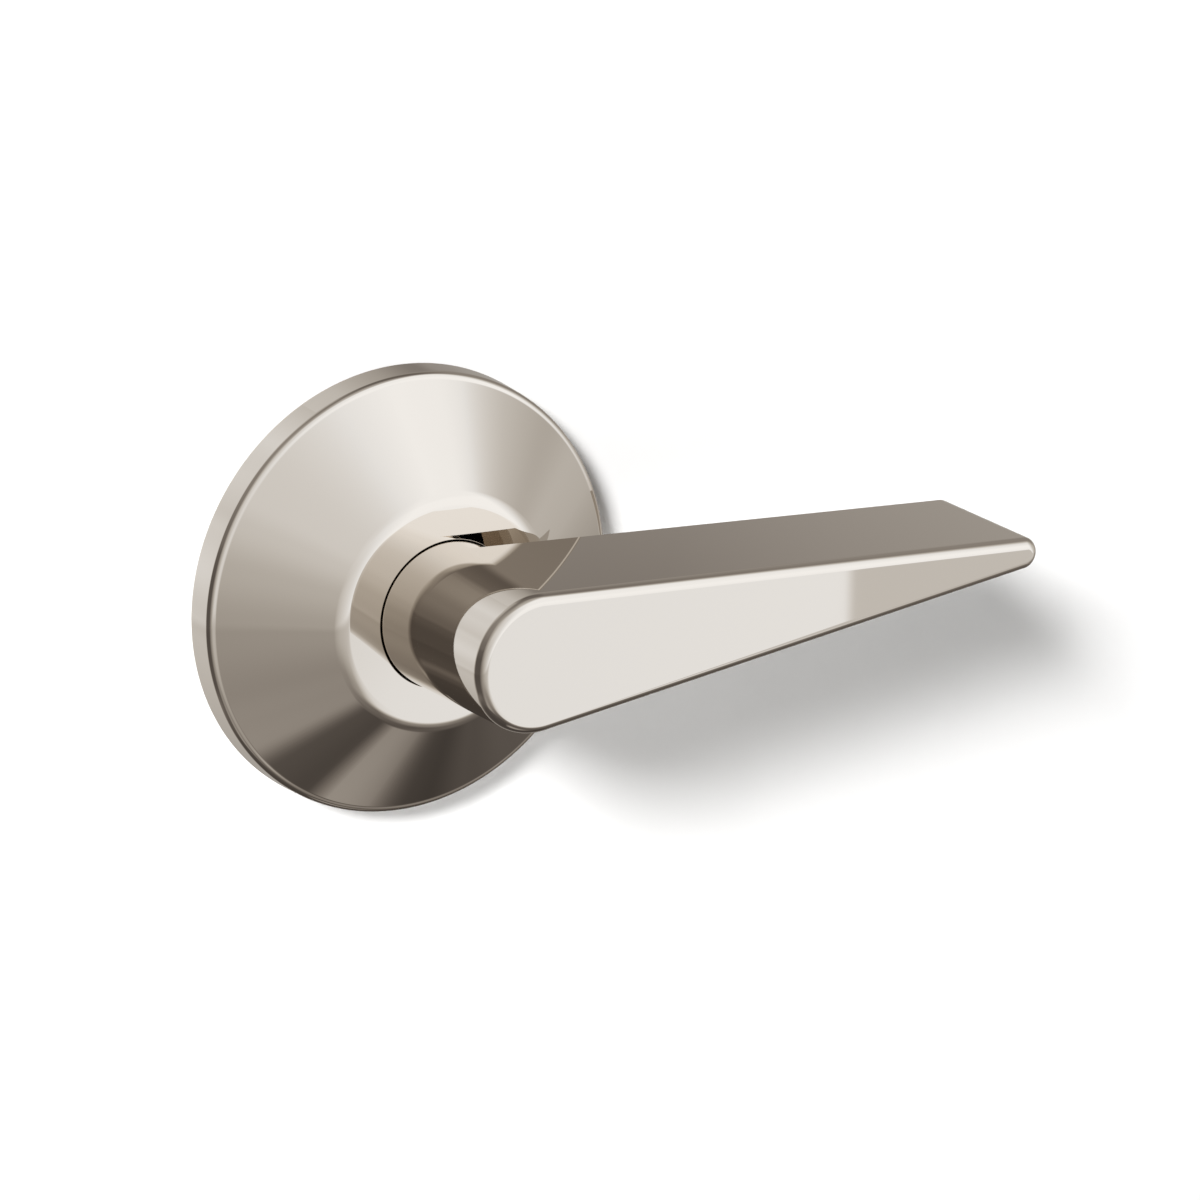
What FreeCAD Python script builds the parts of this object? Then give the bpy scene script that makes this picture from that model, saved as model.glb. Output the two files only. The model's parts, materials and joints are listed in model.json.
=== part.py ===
import FreeCAD, Part
import math
import os

# Door lever handle on a round sprung rose: one side of a set, drawn in millimetres.
# The door face is the plane y = 0, the handle stands out towards -Y and +Z is up.
# The origin is on the spindle axis. "Depth" below is the distance out from the door face,
# so a point at depth d has y = -d. Polar angles run from +X (0) towards +Z (90 degrees).

Vector = FreeCAD.Vector

# ---- driving dimensions -------------------------------------------------------------

rose_radius = 43.0          # covers a 54 mm cross bore in the door
rim_depth = 5.84            # height of the rim's cylindrical band
rim_draft = 0.45            # how much smaller the band is at its front
boss_depth = 18.06          # depth of the ring round the hub, at the hole
boss_fall = 0.3             # how far the ring falls away towards its outer edge
boss_radius = 21.8          # where the cone would meet the ring
cone_radius = 41.3          # where the cone would meet the lip
lip_tilt = 13.0             # degrees; the narrow lip leans this much towards the rim
hub_hole_radius = 14.15
cover_wall = 1.5
rim_corner_fillet = 1.1
lip_fillet = 0.8            # hollow between the lip and the cone
boss_fillet = 6.0           # soft edge between the cone and the ring
hub_hole_fillet = 0.15

projection = 50.28          # lever's front face above the door
lever_back_depth = 22.85
lever_length = 114.15       # spindle axis to the tip, at the front face
hub_radius = 12.89          # at the front face
tip_radius = 3.14           # at the front face
draft = 0.033               # growth of every lever wall per mm towards the door
front_fillet = 1.9
shoulder_depth = 16.5       # back of the hub, inside the rose

turn_limit = 50.0           # degrees each way

sleeve_radius = 11.0        # journal that turns in the bush
sleeve_neck_radius = 9.0    # front part, pressed into the lever
sleeve_back_depth = 1.0
sleeve_front_depth = 36.0
flat_half_width = 9.2       # half the distance over the journal's two flats
flat_end_depth = 5.4
socket_side = 8.1
socket_front_depth = 30.0

spindle_side = 8.0
spindle_front_depth = 29.0
spindle_tail = 45.0         # reach behind the door face
spindle_chamfer = 0.8
stop_pin_radius = 1.0
stop_pin_length = 13.0
stop_pin_setback = 0.3      # pin's axis behind the door face

plate_thickness = 2.0
plate_radius = 41.2
plate_hole_radius = 14.0
gasket_inner_radius = 36.5
gasket_thickness = 1.0

housing_radius = 24.5
housing_wall = 1.5
housing_back_depth = 3.0
housing_front_depth = 13.6
housing_floor_depth = 12.0  # inner face of the front wall
collar_radius = 14.5
collar_front_depth = 15.5

bush_wall = 1.4
bush_flange_depth = 5.6
bush_flange_thickness = 1.0
thrust_washer_thickness = 0.5

circlip_back_depth = 2.2
circlip_thickness = 1.0
circlip_inner_radius = 10.05
circlip_outer_radius = 12.0
circlip_opening = 14.0      # half angle of the gap between its ends
circlip_eye_angle = 18.0    # of each eye from straight up
circlip_eye_radius = 1.6
circlip_eye_hole = 0.7

cam_back_depth = 3.3
cam_front_depth = 5.3
cam_radius = 16.0
cam_lug_radius = 22.4
cam_lug_half_angle = 12.0
finger_inner_radius = 19.3
finger_outer_radius = 20.8
finger_half_angle = 10.0
finger_front_depth = 11.6

stop_inner_radius = 21.2
stop_half_angle = 8.0
rib_inner_radius = 19.5
rib_angle = 7.0
rib_front_depth = 5.8
buffer_angle = 2.8

wire_radius = 0.8
coil_radius = 18.0
coil_back_depth = 6.5
coil_pitch = 1.62
coil_turns = 3
leg_tip_radius = 22.0
leg_tip_angle = 12.0        # of each leg's tip from straight down

screw_count = 3
screw_first_angle = 90.0
screw_circle_radius = 28.0
screw_radius = 1.47
screw_head_radius = 2.9
screw_head_height = 1.5
screw_end_depth = 7.5
recess_length = 3.2         # cross recess in the head
recess_width = 0.7
recess_depth = 0.9
ear_radius = 3.3
ear_front_depth = 8.0

clip_count = 3
clip_first_angle = 30.0
clip_width = 6.0
clip_sheet = 0.5
clip_base_start = 31.5
clip_base_end = 38.9
clip_top_depth = 3.9
clip_tip_radius = 41.8
clip_groove_gap = 0.2       # round the clip's tip, in the cover's groove
rivet_circle_radius = 34.5
rivet_radius = 1.25
rivet_head_radius = 2.3
rivet_head_height = 0.8

post_spacing = 38.0
post_radius = 3.5
post_shank_radius = 2.9
post_length = 12.0          # reach behind the door face
post_bore_radius = 1.65     # tapping size for an M4 through-bolt
post_bore_end_depth = 1.0

plate_screw_circle = 33.0
plate_screw_hole_radius = 2.1
plate_screw_count = 4
plate_screw_first_angle = 45.0

set_screw_depth = 26.0
set_screw_radius = 2.45
set_screw_low = -12.4
set_screw_high = -4.05
set_screw_key = 2.5         # across the hexagon's flats
set_screw_socket_depth = 2.5

press_gap = 0.02
running_gap = 0.05
part_gap = 0.1
stop_gap = 0.3              # between the cam and the spring stop in the housing
buffer_gap = 0.6            # angle between lug and buffer at full turn
weld = 0.5                  # overlap of shapes that are fused into one casting
overcut = 1.0               # how far a cutting shape reaches past the metal

outward = Vector(0, -1, 0)


# ---- shape helpers ------------------------------------------------------------------

def rod(radius, back, front, x=0.0, z=0.0):
    """Solid cylinder along the spindle direction, from depth back to depth front."""
    return Part.makeCylinder(radius, front - back, Vector(x, -back, z), outward)


def ring(inner, outer, back, front):
    """Tube round the spindle axis."""
    return rod(outer, back, front).cut(rod(inner, back - overcut, front + overcut))


def polar(radius, angle, depth):
    """Point at a radius and a polar angle round the spindle axis."""
    turn = math.radians(angle)
    return Vector(radius * math.cos(turn), -depth, radius * math.sin(turn))


def sector(inner, outer, middle, half, back, front):
    """Block bounded by two radii and two polar angles."""
    first_in = polar(inner, middle - half, back)
    first_out = polar(outer, middle - half, back)
    last_out = polar(outer, middle + half, back)
    last_in = polar(inner, middle + half, back)
    edges = [Part.makeLine(first_in, first_out),
             Part.Arc(first_out, polar(outer, middle, back), last_out).toShape(),
             Part.makeLine(last_out, last_in),
             Part.Arc(last_in, polar(inner, middle, back), first_in).toShape()]
    return Part.Face(Part.Wire(edges)).extrude(outward * (front - back))


def turned(points):
    """Solid of revolution round the spindle axis, from (radius, depth) corners."""
    corners = [Vector(radius, -depth, 0) for radius, depth in points]
    outline = Part.makePolygon(corners + corners[:1])
    return Part.Face(outline).revolve(Vector(0, 0, 0), Vector(0, 1, 0), 360)


def circles_at(shape, radius, depth):
    """Circular edges of a shape at one radius and depth."""
    found = []
    for edge in shape.Edges:
        curve = edge.Curve
        if not isinstance(curve, Part.Circle):
            continue
        if abs(curve.Radius - radius) < 0.01 and abs(curve.Center.y + depth) < 0.01:
            found.append(edge)
    return found


def spun(shape, angle):
    """Copy of a shape turned round the spindle axis, counted like the polar angles."""
    copy = shape.copy()
    copy.rotate(Vector(0, 0, 0), Vector(0, -1, 0), angle)
    return copy


def spread(shape, count, first):
    """Separate copies of a shape at even angles round the spindle axis."""
    return [spun(shape, first + index * 360.0 / count) for index in range(count)]


def cut_all(shape, tools):
    for tool in tools:
        shape = shape.cut(tool)
    return shape


def fuse_all(shapes):
    whole = shapes[0]
    for shape in shapes[1:]:
        whole = whole.fuse(shape)
    return whole.removeSplitter()


# ---- pieces that stay on the door ---------------------------------------------------

def rose_cover():
    """Thin pressed cover: rim band, narrow lip, straight cone and a shallow ring round the hub."""
    rim_front_radius = rose_radius - rim_draft
    lip_depth = rim_depth + (rim_front_radius - cone_radius) * math.tan(math.radians(lip_tilt))
    boss_edge_depth = boss_depth - boss_fall
    slope = math.atan2(boss_edge_depth - lip_depth, cone_radius - boss_radius)
    corner_shift = cover_wall * math.tan(slope / 2)
    inner_rim = rose_radius - cover_wall
    cover = turned([(rose_radius, 0), (rim_front_radius, rim_depth), (cone_radius, lip_depth),
                    (boss_radius, boss_edge_depth), (hub_hole_radius, boss_depth),
                    (hub_hole_radius, boss_depth - cover_wall),
                    (boss_radius - corner_shift, boss_edge_depth - cover_wall),
                    (cone_radius - corner_shift, rim_depth - cover_wall),
                    (inner_rim - rim_draft, rim_depth - cover_wall), (inner_rim, 0)])
    cover = cover.makeFillet(rim_corner_fillet, circles_at(cover, rim_front_radius, rim_depth))
    cover = cover.makeFillet(lip_fillet, circles_at(cover, cone_radius, lip_depth))
    cover = cover.makeFillet(boss_fillet, circles_at(cover, boss_radius, boss_edge_depth))
    cover = cover.makeFillet(hub_hole_fillet, circles_at(cover, hub_hole_radius, boss_depth))
    groove = ring(inner_rim - 2 * overcut, clip_tip_radius + clip_groove_gap,
                  clip_top_depth - clip_sheet - clip_groove_gap, clip_top_depth + clip_groove_gap)
    return cover.cut(groove)


def mounting_plate():
    """Steel disc that is screwed to the door and carries everything behind the cover."""
    plate = rod(plate_radius, 0, plate_thickness)
    back = -overcut
    front = plate_thickness + overcut
    rebate = ring(gasket_inner_radius - part_gap, plate_radius + overcut, back, gasket_thickness)
    screw_hole = rod(plate_screw_hole_radius, back, front, plate_screw_circle)
    rivet_hole = rod(rivet_radius + running_gap, back, front, rivet_circle_radius)
    plate = plate.cut(rebate).cut(rod(plate_hole_radius, back, front))
    plate = cut_all(plate, spread(screw_hole, plate_screw_count, plate_screw_first_angle))
    plate = cut_all(plate, spread(rivet_hole, clip_count, clip_first_angle))
    plate = cut_all(plate, spread(countersunk(running_gap), screw_count, screw_first_angle))
    for side in (-1, 1):
        plate = plate.cut(rod(post_shank_radius + running_gap, back, front, side * post_spacing / 2))
    return plate


def door_gasket():
    """Thin rubber ring in the plate's rebate, flush with the back of the cover."""
    return ring(gasket_inner_radius, plate_radius, 0, gasket_thickness - running_gap)


def countersunk(gap):
    """Outline of a countersunk housing screw on the +X side, grown by a gap."""
    head = Part.makeCone(screw_head_radius + gap, screw_radius + gap, screw_head_height,
                         Vector(screw_circle_radius, 0, 0), outward)
    shank = rod(screw_radius + gap, 0, screw_end_depth + gap, screw_circle_radius)
    return head.fuse(shank)


def housing_screws():
    """Three countersunk screws, driven from the back, that hold the housing to the plate."""
    screw = countersunk(0)
    for length, width in ((recess_length, recess_width), (recess_width, recess_length)):
        corner = Vector(screw_circle_radius - length / 2, -recess_depth, -width / 2)
        screw = screw.cut(Part.makeBox(length, recess_depth + overcut, width, corner))
    return Part.makeCompound(spread(screw, screw_count, screw_first_angle))


def spring_housing():
    """Cast cup, open to the door, with a bearing collar, spring stop, end stops and ears."""
    inner_radius = housing_radius - housing_wall
    collar_bore = sleeve_radius + running_gap + bush_wall + running_gap
    collar_back = bush_flange_depth + bush_flange_thickness
    castings = [ring(inner_radius, housing_radius, housing_back_depth, housing_front_depth),
                ring(collar_bore, housing_radius, housing_floor_depth, housing_front_depth),
                ring(collar_bore, collar_radius, collar_back, collar_front_depth),
                sector(stop_inner_radius, inner_radius + weld, -90, stop_half_angle,
                       cam_front_depth + stop_gap, housing_floor_depth + weld)]
    for side in (-1, 1):
        middle = 90 + side * (end_stop_angle() + buffer_angle + rib_angle / 2)
        castings.append(sector(rib_inner_radius, inner_radius + weld, middle, rib_angle / 2,
                               housing_back_depth, rib_front_depth))
    ear = rod(ear_radius, plate_thickness, ear_front_depth, screw_circle_radius)
    web_half = 0.7 * ear_radius
    web = Part.makeBox(screw_circle_radius - inner_radius, ear_front_depth - housing_back_depth,
                       2 * web_half, Vector(inner_radius + weld, -ear_front_depth, -web_half))
    castings += spread(ear.fuse(web), screw_count, screw_first_angle)
    housing = fuse_all(castings)
    return cut_all(housing, spread(countersunk(running_gap), screw_count, screw_first_angle))


def end_stop_angle():
    """Angle from straight up at which a stop buffer starts."""
    return cam_lug_half_angle + turn_limit + buffer_gap


def stop_buffers():
    """Two nylon pads on the end stops, which the cam's lug reaches at full turn."""
    outer = housing_radius - housing_wall - part_gap
    half = (buffer_angle - part_gap) / 2
    pads = []
    for side in (-1, 1):
        middle = 90 + side * (end_stop_angle() + buffer_angle / 2)
        pads.append(sector(rib_inner_radius, outer, middle, half,
                           housing_back_depth + part_gap, rib_front_depth))
    return Part.makeCompound(pads)


def spring_cover():
    """Thin disc, clamped between plate and housing, that keeps the spring in its cup."""
    return ring(plate_hole_radius, housing_radius, plate_thickness, housing_back_depth)


def bearing_bush():
    """Flanged plastic bush in which the drive sleeve turns."""
    inner = sleeve_radius + running_gap
    flange_front = bush_flange_depth + bush_flange_thickness
    flange = ring(inner, collar_radius - part_gap, bush_flange_depth, flange_front)
    barrel = ring(inner, inner + bush_wall, flange_front, collar_front_depth - part_gap)
    return fuse_all([flange, barrel])


def return_spring():
    """Torsion spring round the collar; its two legs straddle the stop and the cam's finger."""
    lean = math.degrees(math.acos(coil_radius / leg_tip_radius))
    start_angle = -90 + leg_tip_angle + lean
    turns = coil_turns - 2 * (leg_tip_angle + lean) / 360
    coil = Part.makeHelix(coil_pitch, turns * coil_pitch, coil_radius)
    coil.translate(Vector(0, 0, coil_back_depth))
    coil.rotate(Vector(0, 0, 0), Vector(0, 0, 1), start_angle)
    edge = coil.Edges[0]
    leg_length = math.sqrt(leg_tip_radius ** 2 - coil_radius ** 2)
    start = edge.valueAt(edge.FirstParameter)
    start_way = edge.tangentAt(edge.FirstParameter)
    end = edge.valueAt(edge.LastParameter)
    end_way = edge.tangentAt(edge.LastParameter)
    first_leg = Part.makeLine(start - start_way * leg_length, start)
    last_leg = Part.makeLine(end, end + end_way * leg_length)
    path = Part.Wire([first_leg, edge, last_leg])
    section = Part.Wire(Part.makeCircle(wire_radius, start - start_way * leg_length, start_way))
    spring = path.makePipeShell([section], True, False)
    spring.rotate(Vector(0, 0, 0), Vector(1, 0, 0), 90)
    return spring


def cover_clips():
    """Three leaf clips whose tips snap into the groove inside the cover's rim."""
    base_back = plate_thickness
    base_front = base_back + clip_sheet
    tip_back = clip_top_depth - clip_sheet
    leg_start = clip_base_end - clip_sheet
    profile = [(clip_base_start, base_back), (clip_base_end, base_back),
               (clip_base_end, tip_back), (clip_tip_radius, tip_back),
               (clip_tip_radius, clip_top_depth), (leg_start, clip_top_depth),
               (leg_start, base_front), (clip_base_start, base_front)]
    corners = [Vector(radius, -depth, -clip_width / 2) for radius, depth in profile]
    clip = Part.Face(Part.makePolygon(corners + corners[:1])).extrude(Vector(0, 0, clip_width))
    clip = clip.cut(rod(rivet_radius + running_gap, 0, clip_top_depth, rivet_circle_radius))
    return Part.makeCompound(spread(clip, clip_count, clip_first_angle))


def clip_rivets():
    """One rivet through each clip and the plate."""
    head_start = plate_thickness + clip_sheet
    shank = rod(rivet_radius, 0, head_start, rivet_circle_radius)
    head = rod(rivet_head_radius, head_start, head_start + rivet_head_height, rivet_circle_radius)
    rivet = shank.fuse(head).removeSplitter()
    return Part.makeCompound(spread(rivet, clip_count, clip_first_angle))


def threaded_posts():
    """Two posts staked in the plate that take the through-bolts from the other side."""
    posts = []
    for side in (-1, 1):
        across = side * post_spacing / 2
        post = rod(post_radius, -post_length, 0, across)
        post = post.fuse(rod(post_shank_radius, 0, plate_thickness, across))
        post = post.cut(rod(post_bore_radius, -post_length - overcut, post_bore_end_depth, across))
        posts.append(post.removeSplitter())
    return Part.makeCompound(posts)


def thrust_washer():
    """Plastic washer on the front of the collar."""
    back = collar_front_depth + press_gap
    return ring(sleeve_radius + 3 * part_gap, collar_radius - part_gap, back,
                back + thrust_washer_thickness)


def wave_washer():
    """Spring washer that takes up the lever's end play, flat as it is when squeezed."""
    back = collar_front_depth + thrust_washer_thickness + 2 * press_gap
    return ring(sleeve_radius + 3 * part_gap, collar_radius - 7 * part_gap, back,
                shoulder_depth - part_gap)


# ---- pieces that turn with the lever ------------------------------------------------

def lever_outline(depth):
    """Teardrop outline of the lever at one depth: hub arc, two tangent lines, tip arc."""
    growth = draft * (projection - depth)
    hub = hub_radius + growth
    tip = tip_radius + growth
    tip_centre = lever_length - tip_radius
    taper = math.degrees(math.asin((hub_radius - tip_radius) / tip_centre))
    shift = Vector(tip_centre, 0, 0)
    hub_top = polar(hub, 90 - taper, depth)
    hub_low = polar(hub, taper - 90, depth)
    tip_top = polar(tip, 90 - taper, depth) + shift
    tip_low = polar(tip, taper - 90, depth) + shift
    return Part.Wire([Part.Arc(hub_top, polar(hub, 180, depth), hub_low).toShape(),
                      Part.makeLine(hub_low, tip_low),
                      Part.Arc(tip_low, polar(tip, 0, depth) + shift, tip_top).toShape(),
                      Part.makeLine(tip_top, hub_top)])


def upright(radius, low, high):
    """Cylinder on the set screw's axis, which crosses the spindle axis from below."""
    return Part.makeCylinder(radius, high - low, Vector(0, -set_screw_depth, low), Vector(0, 0, 1))


def lever_handle():
    """Cast lever: teardrop blade of even depth, with its hub running back into the rose."""
    blade = Part.makeLoft([lever_outline(lever_back_depth), lever_outline(projection)], True, True)
    front_edges = [edge for edge in blade.Edges
                   if max(abs(vertex.Y + projection) for vertex in edge.Vertexes) < 0.001]
    blade = blade.makeFillet(front_fillet, front_edges)
    back_hub = hub_radius + draft * (projection - shoulder_depth)
    front_hub = hub_radius + draft * (projection - lever_back_depth)
    neck = Part.makeCone(back_hub, front_hub, lever_back_depth - shoulder_depth,
                         Vector(0, -shoulder_depth, 0), outward)
    lever = fuse_all([blade, neck])
    bore = rod(sleeve_neck_radius + press_gap, shoulder_depth - overcut, sleeve_front_depth + part_gap)
    return lever.cut(bore).cut(upright(set_screw_radius + running_gap, -2 * hub_radius, 0))


def drive_sleeve():
    """Steel sleeve pressed into the lever: journal, flats for the cam and square socket."""
    journal_front = shoulder_depth - press_gap
    sleeve = rod(sleeve_radius, sleeve_back_depth, journal_front)
    sleeve = sleeve.fuse(rod(sleeve_neck_radius, journal_front, sleeve_front_depth))
    for left in (-2 * flat_half_width, flat_half_width):
        corner = Vector(left, -flat_end_depth, -sleeve_radius)
        sleeve = sleeve.cut(Part.makeBox(flat_half_width, flat_end_depth, 2 * sleeve_radius, corner))
    groove = ring(circlip_inner_radius - running_gap, sleeve_radius + overcut,
                  circlip_back_depth - running_gap, circlip_back_depth + circlip_thickness + running_gap)
    half = socket_side / 2
    socket = Part.makeBox(socket_side, socket_front_depth, socket_side,
                          Vector(-half, -socket_front_depth, -half))
    screw_way = upright(set_screw_radius + part_gap, -sleeve_radius, 0)
    return cut_all(sleeve, [groove, socket, screw_way]).removeSplitter()


def return_cam():
    """Steel driver on the sleeve's flats: a finger that winds the spring and a stop lug."""
    back = cam_back_depth
    front = cam_front_depth
    half = flat_half_width + running_gap
    bore = rod(sleeve_radius + running_gap, back - overcut, front + overcut)
    key = Part.makeBox(2 * half, 2 * projection, 2 * cam_radius, Vector(-half, -projection, -cam_radius))
    root = cam_radius - 2 * weld
    body = rod(cam_radius, back, front)
    arm = sector(root, finger_outer_radius, -90, finger_half_angle, back, front)
    finger = sector(finger_inner_radius, finger_outer_radius, -90, finger_half_angle,
                    back, finger_front_depth)
    lug = sector(root, cam_lug_radius, 90, cam_lug_half_angle, back, front)
    return fuse_all([body, arm, finger, lug]).cut(bore.common(key))


def retaining_ring():
    """Open spring ring in the sleeve's groove, with two eyes for pliers."""
    back = circlip_back_depth
    front = back + circlip_thickness
    inner = circlip_inner_radius
    outer = circlip_outer_radius
    clip = ring(inner, outer, back, front)
    clip = clip.cut(sector(inner - overcut, outer + overcut, 90, circlip_opening,
                           back - overcut, front + overcut))
    for side in (-1, 1):
        spot = polar(outer, 90 + side * circlip_eye_angle, 0)
        clip = clip.fuse(rod(circlip_eye_radius, back, front, spot.x, spot.z))
        clip = clip.cut(rod(circlip_eye_hole, back - overcut, front + overcut, spot.x, spot.z))
    return clip.cut(rod(inner, back - overcut, front + overcut)).removeSplitter()


def lever_set_screw():
    """Headless screw under the hub, with a hexagon socket, that grips the spindle."""
    corner_radius = set_screw_key / math.sqrt(3)
    corners = []
    for index in range(7):
        turn = math.radians(60 * index)
        corners.append(Vector(corner_radius * math.cos(turn),
                              corner_radius * math.sin(turn) - set_screw_depth,
                              set_screw_low - overcut))
    reach = Vector(0, 0, set_screw_socket_depth + overcut)
    socket = Part.Face(Part.makePolygon(corners)).extrude(reach)
    return upright(set_screw_radius, set_screw_low, set_screw_high).cut(socket)


def spindle():
    """Square steel bar that carries the turn through the door to the latch."""
    half = spindle_side / 2
    bar = Part.makeBox(spindle_side, spindle_tail + spindle_front_depth, spindle_side,
                       Vector(-half, -spindle_front_depth, -half))
    tail_edges = [edge for edge in bar.Edges if edge.BoundBox.YMin > spindle_tail - 0.01]
    bar = bar.makeChamfer(spindle_chamfer, tail_edges)
    return bar.cut(pin_shape(stop_pin_radius + press_gap))


def pin_shape(radius):
    """Cylinder across the spindle, just behind the sleeve."""
    start = Vector(-stop_pin_length / 2, stop_pin_setback, 0)
    return Part.makeCylinder(radius, stop_pin_length, start, Vector(1, 0, 0))


def spindle_stop_pin():
    """Cross pin that stops the spindle from sliding too far into the sleeve."""
    return pin_shape(stop_pin_radius)


# ---- one STEP file per piece --------------------------------------------------------

pieces = [rose_cover, mounting_plate, door_gasket, spring_housing, spring_cover, bearing_bush,
          return_spring, stop_buffers, housing_screws, cover_clips, clip_rivets, threaded_posts,
          thrust_washer, wave_washer, lever_handle, drive_sleeve, return_cam, retaining_ring,
          lever_set_screw, spindle, spindle_stop_pin]

os.makedirs("parts", exist_ok=True)
for piece in pieces:
    shape = piece()
    box = shape.BoundBox
    print(f"{piece.__name__:18s} solids {len(shape.Solids)} valid {shape.isValid()}"
          f" volume {shape.Volume:9.1f} size {box.XLength:7.2f} {box.YLength:7.2f} {box.ZLength:7.2f}")
    shape.exportStep(f"parts/{piece.__name__}.step")
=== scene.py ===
# %% [markdown]
# # A door lever handle on a round rose
#
# The handle is one side of a set: a round rose that sits on the door, a tapered lever that turns
# in it, and the square spindle and posts that reach back into the door. The metal parts inside
# come from the CAD frame as they are. The rose and the lever are what a person sees and touches,
# so they are modelled again here as clean surfaces that mirror a studio without a ripple.

import json
import math

import bmesh
import bpy
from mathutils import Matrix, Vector


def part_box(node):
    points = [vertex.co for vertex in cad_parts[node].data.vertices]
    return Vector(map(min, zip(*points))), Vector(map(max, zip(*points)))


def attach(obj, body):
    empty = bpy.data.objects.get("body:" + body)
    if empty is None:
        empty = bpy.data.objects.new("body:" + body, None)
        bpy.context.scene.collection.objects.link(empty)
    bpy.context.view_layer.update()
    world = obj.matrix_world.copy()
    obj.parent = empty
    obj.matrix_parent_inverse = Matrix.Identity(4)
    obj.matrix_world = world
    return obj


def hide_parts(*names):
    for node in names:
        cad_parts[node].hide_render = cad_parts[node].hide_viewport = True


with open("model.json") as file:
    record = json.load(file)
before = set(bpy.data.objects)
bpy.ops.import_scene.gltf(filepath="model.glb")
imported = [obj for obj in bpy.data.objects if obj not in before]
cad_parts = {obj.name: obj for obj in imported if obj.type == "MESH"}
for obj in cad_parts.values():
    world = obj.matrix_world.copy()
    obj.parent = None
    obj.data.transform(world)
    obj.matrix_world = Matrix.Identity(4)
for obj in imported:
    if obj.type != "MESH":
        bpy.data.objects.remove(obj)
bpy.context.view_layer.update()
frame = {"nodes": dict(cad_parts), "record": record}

# %% [markdown]
# ## Measures
#
# The script works in metres, but a fitting like this is drawn in millimetres, so sizes are
# written as millimetres times `mm`. Outer sizes are read from the frame's own nodes. What a box
# can't tell, such as where the cone starts, is a named value. The door face is the plane y = 0,
# the handle stands out towards -Y, and a "depth" is a distance out from the door face.

# %% Sizes
mm = 0.001

rose_low, rose_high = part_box("rose_cover")
lever_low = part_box("lever_handle")[0]
rose_radius = rose_high.x
boss_depth = -rose_low.y
projection = -lever_low.y

rim_depth = 5.84 * mm
rim_draft = 0.45 * mm
cone_radius = 41.3 * mm
lip_tilt = math.radians(13)
boss_radius = 21.8 * mm
boss_fall = 0.3 * mm
hub_hole_radius = 14.15 * mm
cover_wall = 1.5 * mm

lever_back_depth = 22.85 * mm
shoulder_depth = 16.5 * mm
lever_length = 114.15 * mm
hub_radius = 12.89 * mm
tip_radius = 3.14 * mm
draft = 0.033
print("rose", 2 * rose_radius / mm, "mm across; lever stands", projection / mm, "mm off the door")

# %% [markdown]
# ## Working in edit mode from a script
#
# By hand you would click a loop of edges and then call a tool on it. A script does the same in
# two steps: it selects by place, and then calls the operator. These helpers keep that short.
# Everything is deselected before a primitive is added, because an operator acts on all that is
# selected.

# %% Helpers for modelling
tolerance = 0.01 * mm
weld = 0.001 * mm
crease_angle = math.radians(30)


def add_circle(name, radius, depth, steps):
    """A filled circle round the spindle axis that faces out of the door, open in edit mode."""
    bpy.ops.object.select_all(action="DESELECT")
    bpy.ops.mesh.primitive_circle_add(vertices=steps, radius=radius, fill_type="NGON",
                                      location=(0, -depth, 0), rotation=(math.radians(90), 0, 0))
    piece = bpy.context.object
    piece.name = piece.data.name = name
    bpy.ops.object.transform_apply(location=True, rotation=True, scale=True)
    bpy.ops.object.mode_set(mode="EDIT")
    return piece


def select(kind, test):
    """Selects the vertices ("VERT"), edges or faces whose corners all pass a test."""
    bpy.ops.mesh.select_mode(type=kind)
    bpy.ops.mesh.select_all(action="DESELECT")
    mesh = bpy.context.object.data
    shape = bmesh.from_edit_mesh(mesh)
    items = {"VERT": shape.verts, "EDGE": shape.edges, "FACE": shape.faces}[kind]
    for item in items:
        corners = [item] if kind == "VERT" else item.verts
        item.select_set(all(test(corner.co) for corner in corners))
    shape.select_flush_mode()
    bmesh.update_edit_mesh(mesh)


def near(a, b):
    return abs(a - b) < tolerance


def on_ring(radius, depth):
    """A test for points on one circle round the spindle axis."""
    return lambda p: near(math.hypot(p.x, p.z), radius) and near(-p.y, depth)


def finish_piece(piece, body, stands_for):
    """Closes edit mode, shades the piece smooth, hides the CAD node it stands for and ties the piece to its
    body.
    """
    bpy.ops.mesh.select_all(action="SELECT")
    bpy.ops.mesh.remove_doubles(threshold=weld)
    bpy.ops.mesh.normals_make_consistent(inside=False)
    bpy.ops.object.mode_set(mode="OBJECT")
    bpy.ops.object.shade_smooth_by_angle(angle=crease_angle)
    weighted = piece.modifiers.new("weighted normals", "WEIGHTED_NORMAL")
    weighted.keep_sharp = True
    bpy.ops.object.modifier_apply(modifier=weighted.name)
    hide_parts(stands_for)
    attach(piece, body)
    print(piece.name, len(piece.data.polygons), "faces")


# %% [markdown]
# ## The rose
#
# The real cover is pressed from sheet and spun on a lathe, so every section through its axis is
# the same. A lathe shape can be made with Spin, or as here by extruding a circle ring by ring:
# each new ring is moved along the axis and scaled to its radius, all the way round the outside
# and back along the inside, until it meets the first. The edges are then rounded with Bevel,
# which leaves true arcs and keeps the cone between them straight.

# %% Rose profile
rim_front_radius = rose_radius - rim_draft
boss_edge_depth = boss_depth - boss_fall
lip_depth = rim_depth + (rim_front_radius - cone_radius) * math.tan(lip_tilt)
slope = math.atan2(boss_edge_depth - lip_depth, cone_radius - boss_radius)
boss_slope = math.atan2(boss_fall, boss_radius - hub_hole_radius)
corner_shift = cover_wall * math.tan(slope / 2)
inner_rim = rose_radius - cover_wall
groove_radius = 42.0 * mm
groove_back, groove_front = 3.2 * mm, 4.1 * mm

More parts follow.
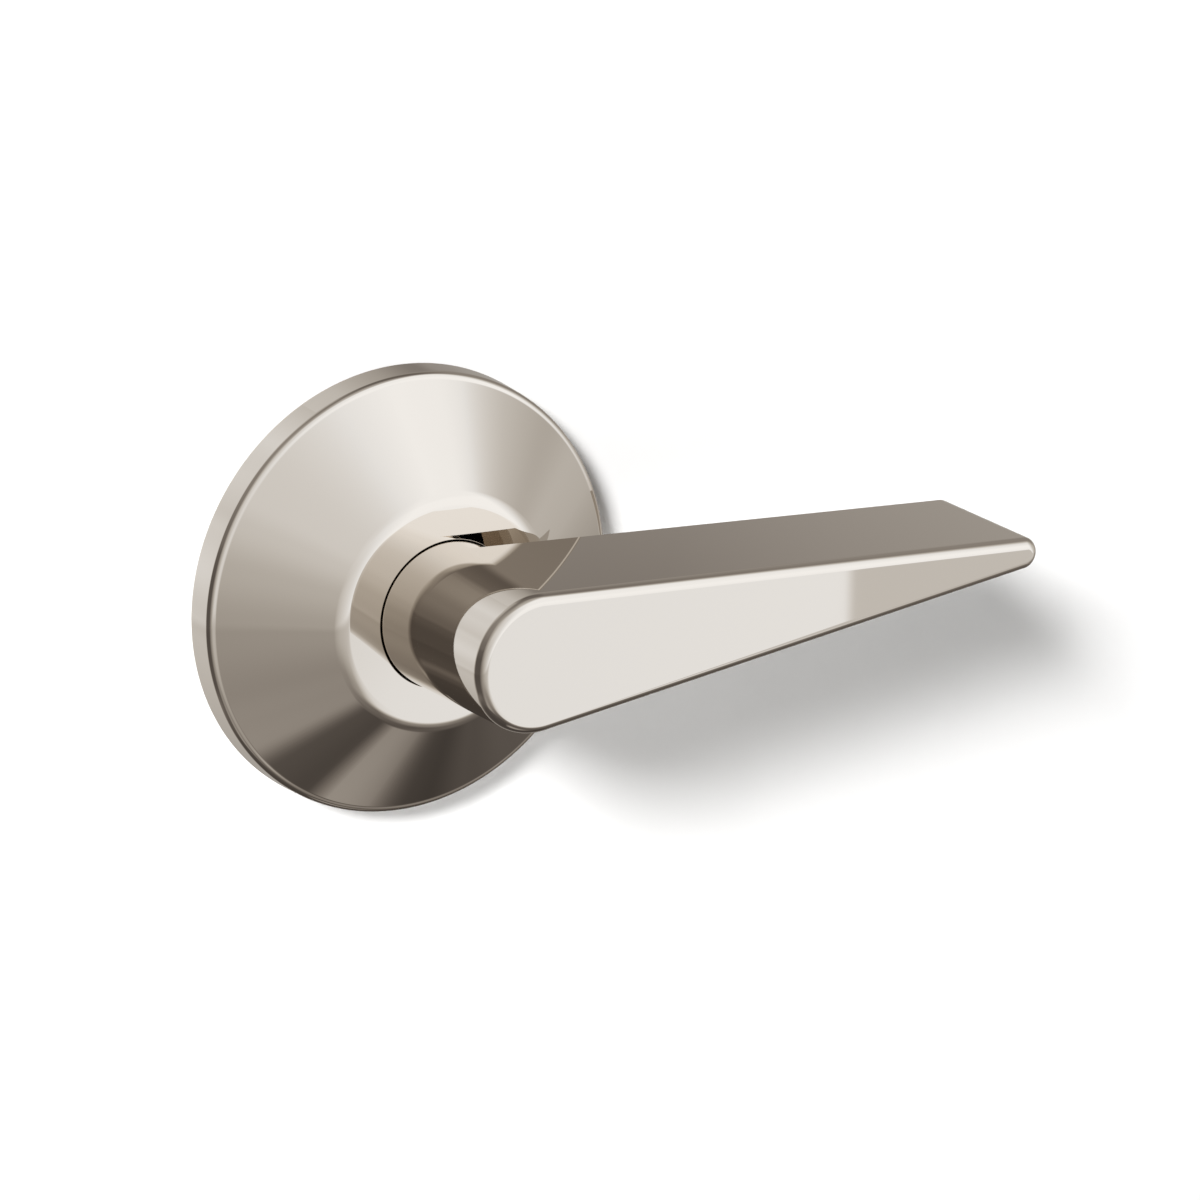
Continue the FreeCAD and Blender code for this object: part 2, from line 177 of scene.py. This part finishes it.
profile = [
    (rose_radius, 0),
    (rim_front_radius, rim_depth),
    (cone_radius, lip_depth),
    (boss_radius, boss_edge_depth),
    (hub_hole_radius, boss_depth),
    (hub_hole_radius, boss_depth - cover_wall),
    (boss_radius - corner_shift, boss_edge_depth - cover_wall),
    (cone_radius - corner_shift, rim_depth - cover_wall),
    (inner_rim - rim_draft, rim_depth - cover_wall),
    (inner_rim - rim_draft, groove_front),
    (groove_radius, groove_front),
    (groove_radius, groove_back),
    (inner_rim, groove_back),
    (inner_rim, 0),
]
print("cone slope", round(math.degrees(slope), 1), "degrees")

# %% Rose body
rose_steps = 256
rose = add_circle("rose", rose_radius, 0, rose_steps)
bpy.ops.mesh.delete(type="ONLY_FACE")
bpy.ops.mesh.select_all(action="SELECT")
for (radius, depth), (next_radius, next_depth) in zip(profile, profile[1:] + profile[:1]):
    bpy.ops.mesh.extrude_edges_move(TRANSFORM_OT_translate={"value": (0, depth - next_depth, 0)})
    grow = next_radius / radius
    bpy.ops.transform.resize(value=(grow, 1, grow), center_override=(0, 0, 0))
bpy.ops.mesh.select_all(action="SELECT")
bpy.ops.mesh.remove_doubles(threshold=weld)
print("rings joined:", len(profile))

# %% Rose edges
# A fillet of radius r between two faces that turn by an angle starts r * tan(angle / 2) from
# their corner, which is the offset that Bevel wants. Each row holds the corner's ring (radius and
# depth), the fillet's radius, the turn between the two faces, and the number of steps.
rose_fillets = [
    (rim_front_radius, rim_depth, 1.1 * mm, math.radians(90) - lip_tilt, 10),
    (cone_radius, lip_depth, 0.8 * mm, slope - lip_tilt, 4),
    (boss_radius, boss_edge_depth, 6.0 * mm, slope - boss_slope, 10),
    (hub_hole_radius, boss_depth, 0.15 * mm, math.radians(90), 4),
]
for radius, depth, fillet, turn, steps in rose_fillets:
    select("EDGE", on_ring(radius, depth))
    bpy.ops.mesh.bevel(offset=fillet * math.tan(turn / 2), segments=steps, profile=0.5, affect="EDGES")
finish_piece(rose, "rose", "rose_cover")

# %% [markdown]
# ## The lever
#
# The lever is a zinc casting: a teardrop blade of even depth with a round hub that runs back into
# the rose. Its walls lean a little, because a casting has to leave its mould. The teardrop is a
# circle whose right-hand part is shrunk and moved out to the tip, so both ends stay true arcs and
# the flanks run straight between them. Inset with a depth then lifts the outline to the front
# face and narrows it evenly, which is exactly what draft is.

# %% Lever body
lever_steps = 144
slack = 0.1 * mm
hub_back = hub_radius + draft * (projection - lever_back_depth)
tip_back = tip_radius + draft * (projection - lever_back_depth)
neck_back = hub_radius + draft * (projection - shoulder_depth)
tip_centre = lever_length - tip_radius
flank_angle = math.radians(90) - math.asin((hub_radius - tip_radius) / tip_centre)

lever = add_circle("lever", neck_back, shoulder_depth, lever_steps)
bpy.ops.mesh.select_all(action="SELECT")
bpy.ops.mesh.duplicate()
bpy.ops.mesh.select_mode(type="FACE")
bpy.ops.mesh.inset(thickness=neck_back - hub_back, depth=lever_back_depth - shoulder_depth)


def on_right(p):
    """Points of the hub's end circle on the tip's side of the flanks."""
    return near(-p.y, lever_back_depth) and p.x > hub_back * math.cos(flank_angle) - slack


bpy.ops.mesh.delete(type="ONLY_FACE")
select("EDGE", on_right)
bpy.ops.mesh.extrude_edges_move(TRANSFORM_OT_translate={"value": (0, 0, 0)})
shrink = tip_back / hub_back
bpy.ops.transform.resize(value=(shrink, 1, shrink), center_override=(0, -lever_back_depth, 0))
bpy.ops.transform.translate(value=(tip_centre, 0, 0))
print("flanks leave the hub at", round(math.degrees(flank_angle), 1), "degrees")

# %% Lever front
bpy.ops.mesh.select_all(action="DESELECT")


def on_outline(p):
    """Points of the blade's back outline: the hub's left arc and the tip's arc."""
    left = p.x < hub_back * math.cos(flank_angle) + slack
    return near(-p.y, lever_back_depth) and (left or p.x > tip_centre - tip_back)


select("EDGE", on_outline)
bpy.ops.mesh.edge_face_add()
cap = next(face for face in bmesh.from_edit_mesh(lever.data).faces if face.select)
if cap.normal.y > 0:
    bpy.ops.mesh.flip_normals()
growth = draft * (projection - lever_back_depth)
bpy.ops.mesh.inset(thickness=growth, depth=projection - lever_back_depth)
print("blade depth", round((projection - lever_back_depth) / mm, 2), "mm")

# %% Lever edges
front_fillet, fillet_steps = 1.9 * mm, 12
face_margin = 0.15 * mm
select("EDGE", lambda p: near(-p.y, projection))
bpy.ops.mesh.bevel(offset=front_fillet, segments=fillet_steps, profile=0.5, affect="EDGES")
select("FACE", lambda p: near(-p.y, projection))
bpy.ops.mesh.inset(thickness=face_margin)
print("front fillet", round(front_fillet / mm, 2), "mm")

# %% [markdown]
# ## The set screw's hole
#
# A headless screw grips the spindle from under the hub. Its hole is cut with Boolean: a cylinder
# stands where the drill would go, and the difference leaves a clean round mouth in the curved
# wall. The cutter is removed afterwards.

# %% Set screw hole
screw_hole_radius, screw_hole_depth = 2.5 * mm, 26.0 * mm
hole_top, hole_bottom = -6.0 * mm, -18.0 * mm
drill_steps = 48
bpy.ops.object.mode_set(mode="OBJECT")
bpy.ops.mesh.primitive_cylinder_add(vertices=drill_steps, radius=screw_hole_radius,
                                    depth=hole_top - hole_bottom,
                                    location=(0, -screw_hole_depth, (hole_top + hole_bottom) / 2))
drill = bpy.context.object
bpy.context.view_layer.objects.active = lever
cut = lever.modifiers.new("screw hole", "BOOLEAN")
cut.operation = "DIFFERENCE"
cut.solver = "EXACT"
cut.object = drill
bpy.ops.object.modifier_apply(modifier=cut.name)
bpy.data.objects.remove(drill)
bpy.ops.object.select_all(action="DESELECT")
lever.select_set(True)
bpy.ops.object.mode_set(mode="EDIT")
finish_piece(lever, "lever", "lever_handle")

# %% [markdown]
# ## Nodes and colours
#
# A material is a small tree of nodes. One helper adds a node, sets it up and links its inputs, so
# that a finish reads as a short list. Colours are written as the sRGB hex codes that a colour
# picker shows, and turned into the linear values that light works in.

# %% Helpers for materials


def colour(code):
    """Linear colour of an sRGB hex code such as "#dad3cb"."""
    parts = [int(code[start:start + 2], 16) / 255 for start in (1, 3, 5)]
    return [p / 12.92 if p <= 0.04045 else ((p + 0.055) / 1.055) ** 2.4 for p in parts] + [1.0]


def add_node(tree, kind, inputs=None, stops=None, **settings):
    """Adds one node: its settings, its inputs as values or links, and a ramp's stops."""
    made = tree.nodes.new(kind)
    for name, value in settings.items():
        setattr(made, name, value)
    for name, value in (inputs or {}).items():
        if isinstance(value, bpy.types.NodeSocket):
            tree.links.new(value, made.inputs[name])
        else:
            made.inputs[name].default_value = value
    for index, (place, shade) in enumerate(stops or []):
        marks = made.color_ramp.elements
        mark = marks[index] if index < 2 else marks.new(place)
        mark.position = place
        mark.color = shade
    return made


def new_material(name):
    made = bpy.data.materials.new(name)
    made.use_nodes = True
    made.node_tree.nodes.clear()
    return made, made.node_tree


# %% [markdown]
# ## Nickel plate
#
# Both show pieces are nickel plated. Nickel is a slightly yellow, fairly bright metal. Here it is
# polished fine before plating, so it mirrors soft shapes with a little blur and shows no brush
# lines. A faint cloudiness in the blur is what keeps real plating from looking like chrome. A
# noise texture with clouds about 11 mm wide drives the roughness between two close values.

# %% Nickel
cloud_size = 11.1 * mm
clear_blur, cloudy_blur = 0.016, 0.026
nickel, tree = new_material("Nickel plate, fine polished")
place = add_node(tree, "ShaderNodeTexCoord")
clouds = add_node(tree, "ShaderNodeTexNoise", {"Vector": place.outputs["Object"], "Scale": 1 / cloud_size,
                                               "Detail": 3.0})
blur = add_node(tree, "ShaderNodeMapRange", {"Value": clouds.outputs["Fac"], "To Min": clear_blur,
                                             "To Max": cloudy_blur})
shader = add_node(tree, "ShaderNodeBsdfPrincipled", {"Base Color": colour("#e6dfd6"), "Metallic": 1.0,
                                                     "Roughness": blur.outputs["Result"]})
add_node(tree, "ShaderNodeOutputMaterial", {"Surface": shader.outputs["BSDF"]})
for piece in (rose, lever):
    piece.data.materials.clear()
    piece.data.materials.append(nickel)
print("nickel on", rose.name, "and", lever.name)

# %% [markdown]
# ## The studio
#
# Polished metal is mostly a picture of the room round it. The room here is painted as soft bands
# of light: each band is a ramp round the horizon at one height, and the heights blend into each
# other. Only mirror-like rays see that picture. A faint white light from all sides reaches the
# surfaces that don't mirror, and the background itself is plain white.

# %% Painted room
# Each band: its height in degrees, then pairs of compass angle and brightness. Angle 0 is
# straight out of the door, 90 is towards the lever's tip and 180 is behind the door.
room = [
    (-90, [(-180, 0.05), (180, 0.05)]),
    (-76, [(-180, 0.05), (-30, 0.06), (5, 0.06), (24, 0.3), (60, 0.27), (80, 0.05), (110, 0.05),
           (180, 0.05)]),
    (-62, [(-180, 0.06), (-100, 0.06), (-25, 0.08), (0, 0.06), (40, 0.1), (94, 0.035), (110, 0.05),
           (180, 0.06)]),
    (-54, [(-180, 0.12), (-125, 0.08), (-60, 0.1), (-40, 0.3), (-24, 0.24), (-10, 0.12), (30, 0.08),
           (60, 0.11), (104, 0.06), (130, 0.1), (180, 0.12)]),
    (-46, [(-180, 0.28), (-130, 0.15), (-60, 0.1), (-38, 0.27), (-10, 0.18), (10, 0.12), (24, 0.22),
           (40, 0.22), (60, 0.14), (104, 0.08), (180, 0.28)]),
    (-37, [(-180, 0.36), (-150, 0.46), (-135, 0.34), (-115, 0.08), (-62, 0.08), (-38, 0.24),
           (-10, 0.22), (4, 0.3), (16, 0.66), (24, 0.74), (42, 0.74), (60, 0.2), (104, 0.1), (140, 0.2),
           (180, 0.36)]),
    (-18.5, [(-180, 0.38), (-146, 0.5), (-120, 0.07), (-65, 0.07), (-42, 0.24), (-10, 0.42), (14, 0.5),
             (27, 0.73), (50, 0.8), (70, 0.4), (100, 0.19), (144, 0.3), (180, 0.38)]),
    (-15, [(-180, 0.42), (-144, 0.58), (-118, 0.08), (-65, 0.08), (-38, 0.29), (-5, 0.6), (20, 0.85),
           (45, 0.85), (64, 0.5), (87, 0.4), (96, 0.26), (144, 0.32), (180, 0.46)]),
    (0, [(-180, 0.5), (-141, 0.66), (-118, 0.08), (-65, 0.08), (-37, 0.37), (0, 0.65), (20, 0.88),
         (46, 0.88), (64, 0.5), (87, 0.42), (93, 0.3), (128, 0.32), (139, 0.3), (145, 0.27),
         (153, 0.33), (180, 0.5)]),
    (12, [(-180, 0.5), (-145, 0.66), (-115, 0.1), (-65, 0.1), (-32, 0.5), (0, 0.68), (20, 0.88),
          (46, 0.88), (66, 0.5), (80, 0.33), (92, 0.22), (120, 0.22), (128, 0.33), (139, 0.28),
          (144, 0.24), (150, 0.31), (180, 0.46)]),
    (18, [(-180, 0.5), (-150, 0.66), (-120, 0.14), (-65, 0.14), (-28, 0.57), (0, 0.66), (20, 0.85),
          (46, 0.85), (66, 0.5), (80, 0.32), (92, 0.2), (122, 0.2), (132, 0.28), (142, 0.17),
          (148, 0.19), (154, 0.3), (180, 0.46)]),
    (42, [(-180, 0.48), (-161, 0.65), (-120, 0.2), (-65, 0.2), (-10, 0.63), (10, 0.77), (30, 0.86),
          (54, 0.83), (66, 0.45), (80, 0.22), (128, 0.22), (149, 0.28), (168, 0.48), (180, 0.52)]),
    (60, [(-180, 0.35), (-143, 0.4), (-100, 0.2), (-20, 0.3), (10, 0.42), (50, 0.36), (80, 0.12),
          (150, 0.1), (172, 0.25), (180, 0.35)]),
    (90, [(-180, 0.16), (180, 0.16)]),
]
world = bpy.data.worlds.new("Studio")
bpy.context.scene.world = world
world.use_nodes = True
sky = world.node_tree
sky.nodes.clear()
view = add_node(sky, "ShaderNodeTexCoord")
axes = add_node(sky, "ShaderNodeSeparateXYZ", {"Vector": view.outputs["Generated"]})
out_of_door = add_node(sky, "ShaderNodeMath", {0: axes.outputs["Y"], 1: -1.0}, operation="MULTIPLY")
compass = add_node(sky, "ShaderNodeMath", {0: axes.outputs["X"], 1: out_of_door.outputs[0]},
                   operation="ARCTAN2")
around = add_node(sky, "ShaderNodeMapRange", {"Value": compass.outputs[0], "From Min": -math.pi,
                                              "From Max": math.pi})
height = add_node(sky, "ShaderNodeMath", {0: axes.outputs["Z"]}, operation="ARCSINE")
painted = None
for level, marks in room:
    stops = [((angle + 180) / 360, (light, light, light, 1.0)) for angle, light in marks]
    band = add_node(sky, "ShaderNodeValToRGB", {"Fac": around.outputs[0]}, stops)
    if painted is None:
        painted = band.outputs["Color"]
    else:
        blend = add_node(sky, "ShaderNodeMapRange", {"Value": height.outputs[0],
                                                     "From Min": math.radians(below),
                                                     "From Max": math.radians(level)},
                         interpolation_type="SMOOTHSTEP")
        mixed = add_node(sky, "ShaderNodeMix", {"Factor": blend.outputs[0], "A": painted,
                                                "B": band.outputs["Color"]}, data_type="RGBA")
        painted = mixed.outputs[2]
    below = level
print("room bands:", [level for level, marks in room])

# %% [markdown]
# ## The panel's upright edge
#
# The bright panel in front ends in an upright edge, which shows on the lever's face. A colour
# ramp spread over a full turn came out too soft to hold it. A step in the compass angle makes it
# instead, multiplied onto the room. It only counts between the panel's foot and its shoulder, and
# fades out again further back.

# %% Panel edge
# All in degrees, apart from the brightness beside the panel as a part of the panel's own.
panel_end, edge_width = 38.2, 0.2
panel_back, back_fade = 50.0, 15.0
shoulder, shoulder_fade = -16.5, 1.0
foot, foot_fade = -34.0, 2.0
beside_panel = 0.65

ramps = {}
for name, angle, start, width, low, high in [
        ("edge", compass, panel_end, edge_width, 1.0, beside_panel),
        ("back", compass, panel_back, back_fade, beside_panel, 1.0),
        ("shoulder", height, shoulder - shoulder_fade, shoulder_fade, 0.0, 1.0),
        ("foot", height, foot, foot_fade, 1.0, 0.0)]:
    ramp = add_node(sky, "ShaderNodeMapRange", {"Value": angle.outputs[0], "From Min": math.radians(start),
                                                "From Max": math.radians(start + width), "To Min": low,
                                                "To Max": high})
    ramps[name] = ramp.outputs[0]
beside = add_node(sky, "ShaderNodeMath", {0: ramps["edge"], 1: ramps["back"]}, operation="MAXIMUM")
outside = add_node(sky, "ShaderNodeMath", {0: ramps["shoulder"], 1: ramps["foot"]}, operation="MAXIMUM")
dimmed = add_node(sky, "ShaderNodeMix", {"Factor": outside.outputs[0], "A": beside.outputs[0], "B": 1.0})
painted = add_node(sky, "ShaderNodeMix", {"Factor": 1.0, "A": painted, "B": dimmed.outputs[0]},
                   data_type="RGBA", blend_type="MULTIPLY").outputs[2]
print("panel ends at", panel_end, "degrees")

# %% [markdown]
# ## The room's colour and strength
#
# A bright studio looks neutral in nickel, and its dim corners look warm, so a ramp tints the
# room by its own brightness. Light paths then share the backgrounds out: the painted room for
# mirror-like rays, the faint even one for the rest, and plain white for the camera.

# %% Room colour
tints = [(0.0, colour("#ffefe4")), (0.3, colour("#fff9f1")), (0.75, colour("#f8fbff"))]
warmth = add_node(sky, "ShaderNodeValToRGB", {"Fac": painted}, tints)
tinted = add_node(sky, "ShaderNodeMix", {"Factor": 1.0, "A": painted, "B": warmth.outputs["Color"]},
                  data_type="RGBA", blend_type="MULTIPLY")
mirror_gain = 1.36
ambient = 0.03
mirrored = add_node(sky, "ShaderNodeBackground", {"Color": tinted.outputs[2], "Strength": mirror_gain})
even = add_node(sky, "ShaderNodeBackground", {"Color": colour("#ffffff"), "Strength": ambient})
plain = add_node(sky, "ShaderNodeBackground", {"Color": colour("#ffffff"), "Strength": 1.0})
ray = add_node(sky, "ShaderNodeLightPath")
lit = add_node(sky, "ShaderNodeMixShader", {"Fac": ray.outputs["Is Glossy Ray"], 1: even.outputs[0],
                                            2: mirrored.outputs[0]})
seen = add_node(sky, "ShaderNodeMixShader", {"Fac": ray.outputs["Is Camera Ray"], 1: lit.outputs[0],
                                             2: plain.outputs[0]})
add_node(sky, "ShaderNodeOutputWorld", {"Surface": seen.outputs[0]})
bpy.context.scene.view_settings.view_transform = "Standard"
print("mirror gain", mirror_gain, "ambient", ambient)

# %% [markdown]
# ## Wall and floor
#
# The handle hangs on a plain white wall, the face of its door, and a pale floor lies below. The
# wall is a board just large enough to take the handle's shadow. It vanishes from behind, so that
# the posts and the spindle can be seen from the back, and metal doesn't mirror it, because the
# painted room already holds its brightness.

# %% Wall and floor
matt_white, tree = new_material("White emulsion paint, rolled, seen from the front only")
side = add_node(tree, "ShaderNodeNewGeometry")
front = add_node(tree, "ShaderNodeBsdfDiffuse", {"Color": colour("#f6f6f6")})
gone = add_node(tree, "ShaderNodeBsdfTransparent")
board = add_node(tree, "ShaderNodeMixShader", {"Fac": side.outputs["Backfacing"], 1: front.outputs[0],
                                               2: gone.outputs[0]})
add_node(tree, "ShaderNodeOutputMaterial", {"Surface": board.outputs[0]})

pale, tree = new_material("Pale floor paint")
coat = add_node(tree, "ShaderNodeBsdfDiffuse", {"Color": colour("#f2f1ef")})
add_node(tree, "ShaderNodeOutputMaterial", {"Surface": coat.outputs[0]})

wall_low, wall_high = Vector((-0.18, 0, -0.225)), Vector((0.25, 0, 0.14))
wall_gap = 0.3 * mm
floor_side = 6
for name, centre, size, turn, paint in [
        ("wall", (wall_low + wall_high) / 2 + Vector((0, wall_gap, 0)), wall_high - wall_low, 90, matt_white),
        ("floor", Vector((0, 0, wall_low.z)), Vector((floor_side, 0, floor_side)), 0, pale)]:
    bpy.ops.object.select_all(action="DESELECT")
    bpy.ops.mesh.primitive_plane_add(size=1, location=centre, rotation=(math.radians(turn), 0, 0))
    sheet = bpy.context.object
    sheet.name = name
    sheet.scale = (size.x, size.z, 1)
    sheet.data.materials.append(paint)
    sheet.visible_glossy = False
    print(name, [round(length, 3) for length in size])

# %% [markdown]
# ## Two studio lights
#
# One soft light from the upper left throws the faded shadow to the lower right. Its size against
# its distance sets how soft the shadow's edge is. A weaker and much larger light stands behind
# the door, so that the back isn't black. Neither is mirrored, because a square lamp in the metal
# would spoil the painted room.

# %% Key and fill lights
lamp_distance = 2.0
key_side = 0.48
lamps = [
    ("key", key_side, 68.0, (-1.25, -1.0, 0.97)),
    ("fill", 2.0, 12.0, (-0.3, 1.0, 0.9)),
]
for name, side, power, towards in lamps:
    direction = Vector(towards).normalized()
    lamp_data = bpy.data.lights.new(name, "AREA")
    lamp_data.size = side
    lamp_data.energy = power
    lamp = bpy.data.objects.new(name, lamp_data)
    bpy.context.scene.collection.objects.link(lamp)
    lamp.location = direction * lamp_distance
    lamp.rotation_euler = direction.to_track_quat("Z", "Y").to_euler()
    lamp.visible_glossy = False
    lamp.visible_camera = False
print("key light", round(math.degrees(2 * math.atan(key_side / 2 / lamp_distance))), "degrees wide")

# %% [markdown]
# ## Finishes behind the rose
#
# The parts that the rose hides are plain hardware finishes: zinc plate, turned and drawn steel,
# casting, plastic and rubber. Each is a colour with a slight mottle, a roughness that drifts, and
# a fine bump of the real process: spangle, tool lines, drawing lines or moulding grain. They
# share one recipe, so one function builds them from a few values.

# %% Hardware finishes
mottle_size = 5 * mm
roughness_drift = 0.08
relief_strength = 0.6


def hardware(name, code, second_code, metallic, roughness, grain, stretch=(1, 1, 1), bump=0.02):
    """A finish with a mottle of two colours and a bump: grain in metres, bump height in mm."""
    made, tree = new_material(name)
    place = add_node(tree, "ShaderNodeTexCoord")
    fitted = add_node(tree, "ShaderNodeMapping", {"Vector": place.outputs["Object"], "Scale": stretch})
    mottle = add_node(tree, "ShaderNodeTexNoise", {"Vector": place.outputs["Object"],
                                                   "Scale": 1 / mottle_size, "Detail": 4.0})
    grains = add_node(tree, "ShaderNodeTexNoise", {"Vector": fitted.outputs["Vector"], "Scale": 1 / grain,
                                                   "Detail": 5.0})
    tone = add_node(tree, "ShaderNodeMix", {"Factor": mottle.outputs["Fac"], "A": colour(code),
                                            "B": colour(second_code)}, data_type="RGBA")
    drift = add_node(tree, "ShaderNodeMapRange", {"Value": grains.outputs["Fac"],
                                                  "To Min": roughness - roughness_drift,
                                                  "To Max": roughness + roughness_drift})
    relief = add_node(tree, "ShaderNodeBump", {"Height": grains.outputs["Fac"], "Distance": bump * mm,
                                               "Strength": relief_strength})
    shader = add_node(tree, "ShaderNodeBsdfPrincipled", {"Base Color": tone.outputs[2], "Metallic": metallic,
                                                         "Roughness": drift.outputs[0],
                                                         "Normal": relief.outputs[0]})
    add_node(tree, "ShaderNodeOutputMaterial", {"Surface": shader.outputs["BSDF"]})
    return made


finishes = {
    # Bluish, bright and a little cloudy, with a fine rolled grain.
    "zinc_plated_sheet": hardware("Steel sheet, bright zinc plated", "#b4b9c0", "#c6c4ba", 1.0, 0.3,
                                  0.5 * mm),
    # Dull and slightly pitted, as it leaves the mould.
    "zinc_casting": hardware("Zinc, die cast", "#8f9194", "#7d7f83", 1.0, 0.5, 0.4 * mm, bump=0.05),
    # Rings from the cutting tool, which run round the spindle axis.
    "turned_steel": hardware("Steel, turned", "#b3b2b0", "#a3a19e", 1.0, 0.28, 0.3 * mm, (0.02, 1, 0.02)),
    "post_steel": hardware("Steel, turned and zinc plated", "#bcbfc4", "#aeb1b6", 1.0, 0.28, 0.3 * mm,
                           (0.02, 1, 0.02)),
    # Long lines from the die, which run along the bar.
    "spindle_steel": hardware("Steel bar, drawn and zinc plated", "#b1b4b9", "#a2a4a8", 1.0, 0.3, 0.25 * mm,
                              (1, 0.02, 1)),
    "screw_steel": hardware("Steel screw, zinc plated", "#b0b2b5", "#9c9da0", 1.0, 0.32, 0.3 * mm),
    "rivet_steel": hardware("Steel rivet, headed", "#a6a6a8", "#97979a", 1.0, 0.35, 0.3 * mm),
    # Nearly black brown, with a slight oily gloss.
    "spring_wire": hardware("Spring wire, oil tempered", "#57524c", "#46423d", 1.0, 0.35, 0.3 * mm),
    "spring_leaf": hardware("Spring steel strip, hardened", "#8d8f94", "#7d7f86", 1.0, 0.3, 0.3 * mm),
    # Soft black crystals that take up oil.
    "blackened_spring_steel": hardware("Spring steel, phosphated", "#2a2927", "#1f1e1d", 0.6, 0.5, 0.15 * mm),
    # Milky white and waxy.
    "bearing_plastic": hardware("Acetal, turned from rod", "#e6e2d6", "#dedacd", 0.0, 0.42, 0.4 * mm),
    "buffer_nylon": hardware("Nylon, moulded black", "#222222", "#1c1c1c", 0.0, 0.45, 0.3 * mm),
    # Matt black skin with fine open cells.
    "black_rubber": hardware("Foam rubber, cut from sheet", "#1b1b1b", "#151515", 0.0, 0.85, 0.35 * mm,
                             bump=0.08),
    "nickel_cover": nickel,
    "nickel_lever": nickel,
}
for part in frame["record"]["subparts"]:
    node = frame["nodes"][part["node"]]
    node.data.materials.clear()
    node.data.materials.append(finishes[part["material_slot"]])

# %% [markdown]
# ## Camera
#
# A product picture of a handle is taken from a little above and from the hub's side, with a long
# lens, so that the rose stays round and the blade runs away to the right.

# %% Camera
aim = Vector((45.2, 0, -11.13)) * mm
turn, rise = math.radians(33.42), math.radians(19.18)
distance = 607.8 * mm
back = Vector((-math.sin(turn) * math.cos(rise), -math.cos(turn) * math.cos(rise), math.sin(rise)))
camera_data = bpy.data.cameras.new("camera")
camera_data.sensor_width = 36
camera_data.lens = 92.9
camera_data.clip_start = 10 * mm
camera = bpy.data.objects.new("camera", camera_data)
bpy.context.scene.collection.objects.link(camera)
camera.location = aim + back * distance
camera.rotation_mode = "QUATERNION"
camera.rotation_quaternion = (-back).to_track_quat("-Z", "Y")
bpy.context.scene.camera = camera
print("camera at", [round(c, 3) for c in camera.location])
